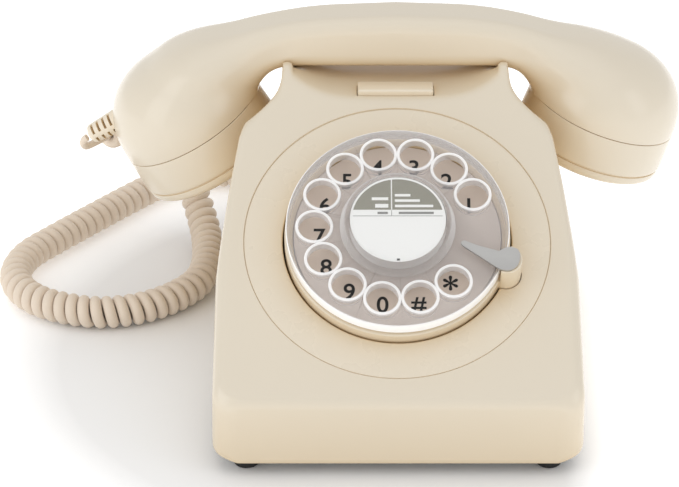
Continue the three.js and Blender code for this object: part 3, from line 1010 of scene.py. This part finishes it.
def written(text, size):
    """The mesh of a short text, lying flat and centred, in millimetres."""
    curve = bpy.data.curves.new("writing", "FONT")
    curve.body = text
    curve.size = size
    curve.align_x = "CENTER"
    curve.align_y = "CENTER"
    curve.extrude = 0.02
    curve.offset = 0.014 * size
    thing = bpy.data.objects.new("writing", curve)
    bpy.context.scene.collection.objects.link(thing)
    bpy.context.view_layer.update()
    mesh = bpy.data.meshes.new_from_object(thing.evaluated_get(bpy.context.evaluated_depsgraph_get()))
    bpy.data.objects.remove(thing)
    return mesh


def make_digits():
    digit_circle, digit_size, star_size = 34, 10.6, 15.0
    work = bmesh.new()
    for i, digit in enumerate("1234567890#*"):
        turn = math.radians(first_hole + i * hole_step)
        mesh = written(digit, star_size if digit == "*" else digit_size)
        middle = sum((v.co for v in mesh.vertices), Vector()) / len(mesh.vertices)
        spot = Vector((-digit_circle * math.sin(turn), digit_circle * math.cos(turn), plate_top + 0.04))
        mesh.transform(Matrix.Scale(MM, 4) @ dial_place @ Matrix.Translation(spot - Vector((middle.x, 0, 0))))
        work.from_mesh(mesh)
    mesh = bpy.data.meshes.new("dial_digits")
    work.to_mesh(mesh)
    work.free()
    settle(make_object("dial_digits", mesh, digit_ink), "case", "plate_plastic")


def make_finger_wheel():
    bore, lip_radius, lip_low = 3.4, 46.2, 6.4
    profile = rounded(
        [
            (bore, wheel_low),
            (lip_radius, wheel_low, 0.3),
            (lip_radius, lip_low, 0.4),
            (wheel_radius, lip_low, 0.4),
            (wheel_radius, wheel_high, 0.8),
            (bore, wheel_high),
        ]
    )
    wheel = dial_piece("finger_wheel_disc", *lathe(profile + [profile[0]], 192), wheel_acrylic)
    low = wheel_low - 1.2
    rim_round = [(8.1, rim_top, 0.6), (6.9, rim_top + 0.1, 0.3), (6.4, rim_top)]
    rim_profile = rounded([(0, low), (8.2, low, 0.5)] + rim_round + [(0, rim_top)])
    rim = make_mesh("rim", *lathe(rim_profile, 48), None)
    hole = make_mesh("hole", *prism(circle(hole_radius, 48), 0, 20), None)
    around = {"radius": hole_circle, "first": first_hole + 90, "step": hole_step, "place": dial_place}
    rims = set_out("rims", rim, wheel_acrylic, hole_count, **around)
    holes = set_out("holes", hole, wheel_acrylic, hole_count, **around)
    combine(wheel, [rims], "UNION")
    combine(wheel, [holes], "DIFFERENCE")
    soften(wheel, 30)
    settle(wheel, "dial", "clear_plastic", "finger_wheel")


def print_blocks(name, spots, low, look):
    """Flat printed blocks as (x0, x1, y0, y1), joined in one mesh on the label."""
    blocks = []
    for x0, x1, y0, y1 in spots:
        blocks.append(dial_piece("bar", *block((x0, y0, low), (x1, y1, low + ink_depth)), None))
    settle(join_meshes(name, blocks, look), "dial", "card")


def make_label():
    low = wheel_high + 0.3
    profile = rounded(
        [
            (label_radius + 0.4, low),
            (hub_radius, low, 0.5),
            (hub_radius - 0.6, 14.5, 0.8),
            (label_radius + 2.2, 19.0, 1.2),
            (label_radius + 0.4, 19.6, 0.4),
        ]
    )
    holder = dial_piece("label_ring", *lathe(profile + [profile[0]], 128), acrylic)
    settle(soften(holder, 30), "dial", "clear_plastic", "label_holder")
    card_low = label_height - 0.4
    card = dial_piece("label_disc", *prism(circle(label_radius, 128), card_low, label_height), card_stock)
    settle(soften(card), "dial", "card", "label_card")
    cover_low, cover_high = label_height + 0.3, label_height + 0.8
    cover = dial_piece("label_window", *prism(circle(label_radius, 128), cover_low, cover_high), label_film)
    settle(soften(bevelled(cover, 0.15, 3)), "dial", "clear_plastic", "label_cover")


def make_label_print():
    """Two dark halves above a rule, with light and dark blocks where the label is written on."""
    printed = label_height + 0.02
    band_low = 4.6
    edge = label_radius - 0.9
    rule_x, rule_half = -2.6, 0.25
    start = math.asin(band_low / edge)
    turns = np.linspace(start, math.pi - start, 60)
    arc = [(edge * math.cos(t), edge * math.sin(t)) for t in turns]
    right = [p for p in arc if p[0] > rule_x + rule_half]
    left = [p for p in arc if p[0] < rule_x - rule_half]
    top = math.sqrt(edge**2 - rule_x**2)
    right_rule, left_rule = rule_x + rule_half, rule_x - rule_half
    right_half = [(right[0][0], band_low)] + right[1:] + [(right_rule, top), (right_rule, band_low)]
    left_half = [(left_rule, band_low), (left_rule, top)] + left[:-1] + [(left[-1][0], band_low)]
    halves = []
    for half in (left_half, right_half):
        halves.append(dial_piece("half", *prism(half, printed, printed + ink_depth), None))
    settle(join_meshes("label_header", halves, card_green), "dial", "card")
    mark = [(-0.6, 0.7, 0.5 - label_radius, 1.5 - label_radius)]
    print_blocks("label_mark", mark, printed, digit_ink)
    rules = [(-19.0, 19.0, 1.5, 1.75), (rule_x - 0.12, rule_x + 0.12, 1.75, band_low)]
    lower_words = [(-8.6, -4.2, 2.5, 3.6), (0.4, 15.2, 2.5, 3.6)]
    print_blocks("label_bars", lower_words + rules, printed, card_grey)
    left_words = [(-11.0, -4.0, 9.2, 10.6), (-9.6, -4.0, 5.6, 7.4)]
    right_words = [(-1.2, 5.4, 11.0, 12.2), (-1.2, 9.4, 8.4, 9.6), (-1.2, 15.0, 5.8, 7.0)]
    print_blocks("label_header_bars", left_words + right_words, printed + 0.05, card_stock)


def join_meshes(name, things, look):
    """One object of several meshes, which are used up."""
    work = bmesh.new()
    for thing in things:
        work.from_mesh(thing.data)
        bpy.data.objects.remove(thing)
    mesh = bpy.data.meshes.new(name)
    work.to_mesh(mesh)
    work.free()
    return make_object(name, mesh, look)


def quadratic(start, control, end, steps=8):
    """Points on a curve from one corner to the next, pulled towards a third."""
    return [
        (
            start[0] * (1 - t) ** 2 + 2 * control[0] * t * (1 - t) + end[0] * t**2,
            start[1] * (1 - t) ** 2 + 2 * control[1] * t * (1 - t) + end[1] * t**2,
        )
        for t in np.linspace(0, 1, steps, endpoint=False)
    ]


def make_finger_stop():
    """A flat hook: its corners in turn, and what each edge is pulled towards where it is curved."""
    tip = [(28.4, -8.5), (27.1, -10.9)]
    root = [(41.1, -21.2), (50.2, -20.4), (50.4, -12.6)]
    back = [(42.6, -13.6), (33.7, -10.9)]
    corners = tip + root + back
    pulls = [(25.6, -8.8), None, (46.5, -25), (52.6, -15.6), (46.6, -10.2), None, (31, -9.8)]
    outline = []
    for start, pull, end in zip(corners, pulls, corners[1:] + corners[:1]):
        outline += quadratic(start, pull, end) if pull else [start]
    low = stop_boss_top + 0.3
    stop = dial_piece("finger_stop_plate", *prism(outline, low, low + 1.3), stop_metal)
    bevelled(stop, 0.22, 2)
    soften(stop, 25)
    settle(stop, "case", "steel", "finger_stop")


make_surround()
make_dial_ring()
make_number_plate()
make_digits()
make_finger_wheel()
make_label()
make_label_print()
make_finger_stop()


# ---- the hook bar ----
def make_hook_bar():
    low = Vector((bar_low.x, bar_low.y, bar_high.z - 10.6))
    bar = make_mesh("hook_bar_cap", *block(low, bar_high), ivory_painted_lighter)
    bevelled(bar, 1.0, 4)
    middle_y = (bar_low.y + bar_high.y) / 2
    half_x, half_y = 3.5, 2.5
    stem = block((-half_x, middle_y - half_y, bar_low.z), (half_x, middle_y + half_y, low.z + 2))
    combine(bar, [make_mesh("stem", *stem, None)], "UNION")
    soften(bar, 40)
    settle(bar, "hook", "ivory_plastic", "hook_bar")


make_hook_bar()


# ---- the handset ----
class Cup:
    """One end of the handset: its seam's centre, its axis's lean from upright, and its dome."""

    def __init__(self, x, z, lean, height, power):
        self.x = x
        self.z = z
        self.lean = math.radians(lean)
        self.dome_height = height
        self.power = power
        self.place = Matrix.Translation((x, cradle_y, z)) @ Matrix.Rotation(self.lean, 4, "Y")

    def height(self, x, z):
        return (x - self.x) * math.sin(self.lean) + (z - self.z) * math.cos(self.lean)

    def radius(self, x, y, z):
        across = (x - self.x) * math.cos(self.lean) - (z - self.z) * math.sin(self.lean)
        return np.hypot(across, y - cradle_y)

    def dome(self, x, y, z):
        height = np.maximum(self.height(x, z), 0)
        size = (self.radius(x, y, z) / ear_radius) ** self.power + (height / self.dome_height) ** self.power
        dome = (size ** (1 / self.power) - 1) * self.dome_height
        return np.maximum(dome, -10 - self.height(x, z))


ear = Cup(93.9, 98.8, 19, 31.0, 2.25)
mouth = Cup(-91.1, 92.3, -30, 34.6, 2.4)
handle_right = [
    (0, 146.4), (38, 145.2, 14), (64.5, 139.4, 12), (86, 130, 9), (96, 119, 8), (100, 110, 5), (98, 107, 2),
    (72, 96, 4), (66, 104, 4), (60, 114.5, 6), (54, 121, 5), (44, 122.4, 5), (0, 122.4),
]
handle_left = [
    (-44, 122.4, 5), (-54, 121, 5), (-60, 114.5, 6), (-66, 104, 4), (-72, 96, 4), (-100, 98, 4),
    (-108, 107, 5), (-98, 123, 9), (-86, 131.6, 9), (-64.5, 139.4, 12), (-38, 144.9, 14),
]
handle_outline = rounded(handle_right + handle_left)
handle_half = 13.0
handle_round = 6.5
flare = 15.0  # how much wider each side grows towards the ends


def handset_form(x, y, z):
    """The handle, wider towards its ends, with a cup's dome flowing into each."""
    arch = outline_distance(handle_outline, *np.broadcast_arrays(x, z))
    near_end = ramp(np.abs(x), 46, 112)
    half = handle_half + flare * near_end
    form = meet(arch, np.abs(y - cradle_y) - half, handle_round + 15 * near_end)
    flow = 6.0 + 9.0 * ramp(z, 112, 128)
    for cup in (ear, mouth):
        form = blend_forms(form, cup.dome(x, y, z), flow)
    return form


def make_handset():
    reach = 130
    points, faces = surface_net(handset_form, (-reach, 12, 66), (reach, 88, 150), 1.25)
    body = make_mesh("handset_shell", points, faces, ivory)
    knives = []
    for cup in (ear, mouth):
        knives.append(make_mesh("knife", *prism(circle(46, 128), -60, 0.15), None, cup.place))
    combine(body, knives, "DIFFERENCE")
    soften(body, 45)
    settle(body, "handset", "ivory_plastic", "handset_body")


def make_cap(name, cup, node, rings):
    """The cap below a cup's seam, grooved round its rim; its rings of sound holes are (count, radius)."""
    end, floor, seam = -22.8, -17, -0.2
    bore, groove = 31.4, 33.5
    profile = rounded(
        [
            (0, end),
            (30.2, end, 2.2),
            (34.0, -20.4, 1.4),
            (34.1, -17.3, 0.3),
            (groove, -17.15),
            (groove, -16.55),
            (34.4, -16.3, 0.3),
            (34.5, -15, 0.8),
            (34.05, seam, 0.25),
            (bore, seam),
            (bore, floor),
            (0, floor),
        ]
    )
    cap = make_mesh(name, *lathe(profile, 160), ivory, cup.place)
    for count, radius in rings:
        drill = make_mesh("drill", *prism(circle(1.3, 20), -30, -10), None)
        holes = set_out("sound_holes", drill, ivory, count, cup.place, radius, step=360 / count)
        combine(cap, [holes], "DIFFERENCE")
    soften(cap, 35)
    settle(cap, "handset", "ivory_plastic", node)


make_handset()
make_cap("earpiece_end", ear, "earpiece_cap", [(1, 0), (6, 5), (12, 10)])
make_cap("mouthpiece_end", mouth, "mouthpiece_cap", [(6, 4), (12, 9), (18, 14)])


# ---- boot, gland and feet ----
boot_root = Vector((-119, cradle_y, 95))
boot_tip = Vector((-137.8, cradle_y, 84.2))


def make_boot():
    """A cone that tapers to the lead, with four rows of slots across it."""
    length = (boot_tip - boot_root).length
    thick, thin, mouth_radius = 5.7, 4.3, 2.2
    taper = [(thick, 0), (thick, 4, 1), (thin, length - 1, 1.4), (mouth_radius, length, 0.5)]
    profile = rounded([(0, 0)] + taper + [(0, length)])
    turn = (boot_tip - boot_root).to_track_quat("Z", "Y").to_matrix().to_4x4()
    place = Matrix.Translation(boot_root) @ turn
    boot = make_mesh("handset_cord_boot", *lathe(profile, 48), ivory_painted_lighter, place)
    first_slot, slot_pitch, slot_width = 8.4, 3.1, 1.2
    wedge = [(2.0, -1.1), (7.5, -5.3), (7.5, 5.3), (2.0, 1.1)]
    slots = []
    for degrees in (45, 135, 225, 315):
        knife = make_mesh("knife", *prism(wedge, 0, slot_width), None)
        aim = Matrix.Translation((0, 0, first_slot)) @ Matrix.Rotation(math.radians(degrees), 4, "Z")
        slots.append(set_out("slots", knife, ivory_painted_lighter, 4, place @ aim, rise=slot_pitch))
    combine(boot, slots, "DIFFERENCE")
    soften(boot, 40)
    return settle(boot, "handset", "cord_plastic", "cord_boot")


def make_gland():
    """A flange and a neck in the case's wall, and four ribs outside it that grow smaller."""
    flange, neck, collar, length = 6.4, 4.4, 5.8, 15
    profile = [(0, -6), (flange, -6), (flange, -4.4), (neck, -4.4), (neck, 0.6)]
    profile += [(collar, 0.6, 0.3), (collar, 2.4, 0.5)]
    rib_pitch, rib_step = 2.8, 0.55
    for i in range(4):
        low = 3.2 + i * rib_pitch
        rib = 5.4 - i * rib_step
        profile += [(rib, low, 0.3), (rib - 0.15, low + 1.6, 0.3)]
        profile += [(rib - 1.1, low + 1.8), (rib - 1.2, low + 2.6)]
    profile += [(3.3, length, 0.3), (0, length)]
    gland = make_mesh("line_gland", *lathe(rounded(profile, steps=3), 48), cord_vinyl, gland_place())
    soften(gland, 40)
    return settle(gland, "case", "cord_plastic", "cord_gland")


def make_feet():
    dish = 0.3  # how far the middle of a foot stands off the table
    for corner in ("front_left", "front_right", "rear_left", "rear_right"):
        low, high = box_mm("foot_" + corner)
        middle = (low + high) / 2
        radius = (high.x - low.x) / 2
        under = [(0, dish), (radius - 2.2, dish), (radius - 1.8, 0, 0.2), (radius, 0, 0.9)]
        profile = rounded(under + [(radius, high.z), (0, high.z)])
        place = Matrix.Translation((middle.x, middle.y, 0))
        foot = make_mesh("rubber_foot_" + corner, *lathe(profile, 48), black_rubber, place)
        settle(soften(foot, 40), "case", "rubber", "foot_" + corner)


boot = make_boot()
gland = make_gland()
make_feet()

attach(cord, "case")
cord.parent = None
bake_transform(cord)
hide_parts("cord_lead_handset", "cord_coil", "cord_lead_base")
[tuple(p * MM) for p in cord_path]


# ---- finishes of the CAD nodes that show or stay inside ----
def finish_nodes():
    slots = {part["node"]: part["material_slot"] for part in frame["record"]["subparts"]}
    for name, node in frame["nodes"].items():
        look = slot_looks.get(slots.get(name), steel)
        if not node.data.materials:
            node.data.materials.append(look)
        for place in node.material_slots:
            place.material = look


finish_nodes()


# ---- floor and light ----
def painted_floor_light(tree, place):
    """Painted light: a white glow on the floor far out, behind and beside the phone, which lightens the shadow the
    phone casts there, and none where it stands and casts its nearest shade.
    """
    behind = tree.rise(tree.add("ShaderNodeSeparateXYZ", {}, place, out="Y"), 0.12, 0.24)
    beside = tree.rise(tree.add("ShaderNodeSeparateXYZ", {}, place, out="X"), 0.07, 0.1)
    away = tree.add("ShaderNodeVectorMath", {"operation": "LENGTH"}, place, out="Value")
    share = behind.math("MAXIMUM", beside).math("MAXIMUM", tree.rise(away, 0.15, 0.21))
    return tree.mix(share, (0, 0, 0, 1), (0.55, 0.55, 0.55, 1))


def make_floor():
    reach = 6000
    corners = [(x * reach, y * reach, 0) for x, y in ((-1, -1), (1, -1), (1, 1), (-1, 1))]
    white = clouded((0.9, 0.9, 0.9, 1), 0.002)
    # the floor's emission is painted light over the phone's cast shadow, not a lamp
    extra = {"Specular IOR Level": 0.2, "Emission Color": painted_floor_light, "Emission Strength": 1.0}
    look = surface("white_floor", white, polished(0.6, 0.05), None, extra)
    make_mesh("floor", corners, [(0, 1, 2, 3)], look)


def make_light(name, spot, aim, size, power):
    """A soft rectangle of light at a spot, facing another; places in metres, power in watts."""
    data = bpy.data.lights.new(name, "AREA")
    data.shape = "RECTANGLE"
    data.size, data.size_y = size
    data.energy = power
    light = bpy.data.objects.new(name, data)
    light.location = spot
    light.rotation_euler = (Vector(aim) - Vector(spot)).to_track_quat("-Z", "Y").to_euler()
    bpy.context.scene.collection.objects.link(light)


def make_lights():
    world = bpy.data.worlds.new("studio")
    world.use_nodes = True
    background = world.node_tree.nodes["Background"]
    background.inputs["Color"].default_value = (1, 1, 1, 1)
    background.inputs["Strength"].default_value = 0.84
    bpy.context.scene.world = world
    make_light("left_window", (-1.0, -0.75, 0.6), (-0.05, 0, 0.06), (0.8, 1.1), 3.0)
    make_light("right_window", (1.0, -0.6, 0.6), (0.05, 0, 0.06), (0.5, 0.9), 1.1)
    make_light("overhead", (0, 0.1, 1.3), (0, 0, 0), (1.4, 1.2), 1.6)
    make_light("front_fill", (0, -1.5, 0.25), (0, 0, 0.05), (1.6, 0.5), 0.7)


make_floor()
make_lights()
view = bpy.context.scene.view_settings
view.view_transform = "Standard"
